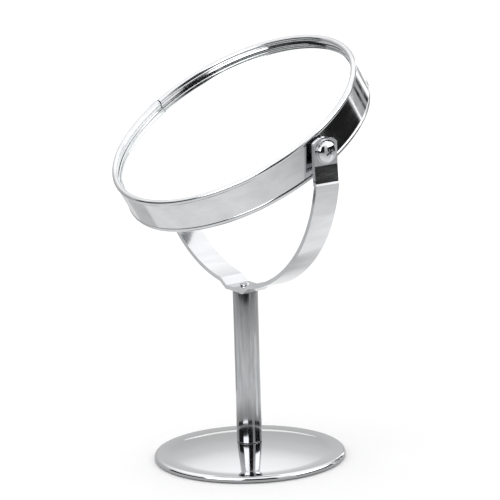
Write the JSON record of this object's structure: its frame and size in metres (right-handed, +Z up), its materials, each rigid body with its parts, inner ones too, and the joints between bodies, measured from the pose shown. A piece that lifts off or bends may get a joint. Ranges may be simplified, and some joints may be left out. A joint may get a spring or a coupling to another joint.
{
  "type": "tabletop vanity mirror",
  "caption": "Free-standing two-sided make-up mirror: a round chromed head flips in a U yoke on a post and weighted base.",
  "frame": {"origin": "on the table, at the centre of the base pad's underside, on the post's axis", "axes": "+Z up along the post and the yoke's swivel axis; X along the head's pivot axis, +X to the side of the right pivot screw; -Y is the side that the front glass leans towards at rest"},
  "size_m": [0.1162, 0.0966, 0.1625],
  "materials": {
    "chrome": "bright chrome plate, polished",
    "satin_chrome": "chrome plate over drawn strip and tube, faint lengthwise grain",
    "mirror_glass": "back-silvered float glass, clear and flat",
    "zinc_steel": "zinc plated steel, dull",
    "cast_iron": "rough casting",
    "black_foam": "closed-cell foam, matt",
    "white_nylon": "moulded nylon, semi-matt",
    "black_nylon": "moulded black nylon, semi-matt"
  },
  "bodies": {
    "stand": {"base_shell": "chrome", "base_weight": "cast_iron", "base_pad": "black_foam", "base_screw": "zinc_steel", "base_washer": "zinc_steel", "base_lock_washer": "zinc_steel", "post_foot_insert": "zinc_steel", "post_tube": "satin_chrome", "post_top_insert": "zinc_steel", "yoke_friction_washer": "white_nylon", "yoke_screw": "chrome"},
    "yoke": {"yoke_strip": "satin_chrome", "pivot_washer_left": "chrome", "pivot_washer_right": "chrome"},
    "head": {"head_band": "satin_chrome", "front_glass": "mirror_glass", "rear_glass": "mirror_glass", "mirror_spacer": "white_nylon", "foam_pad": "black_foam", "pivot_screw_left": "chrome", "pivot_screw_right": "chrome", "pivot_spacer_left": "black_nylon", "pivot_spacer_right": "black_nylon", "pivot_nut_left": "zinc_steel", "pivot_nut_right": "zinc_steel"}
  },
  "joints": [
    {"name": "yoke_swivel", "type": "hinge", "parent": "stand", "child": "yoke", "pos_m": [0, 0, 0.0692], "axis": [0, 0, 1], "continuous": true},
    {"name": "head_flip", "type": "hinge", "parent": "yoke", "child": "head", "pos_m": [0, 0, 0.13], "axis": [1, 0, 0], "continuous": true}
  ]
}
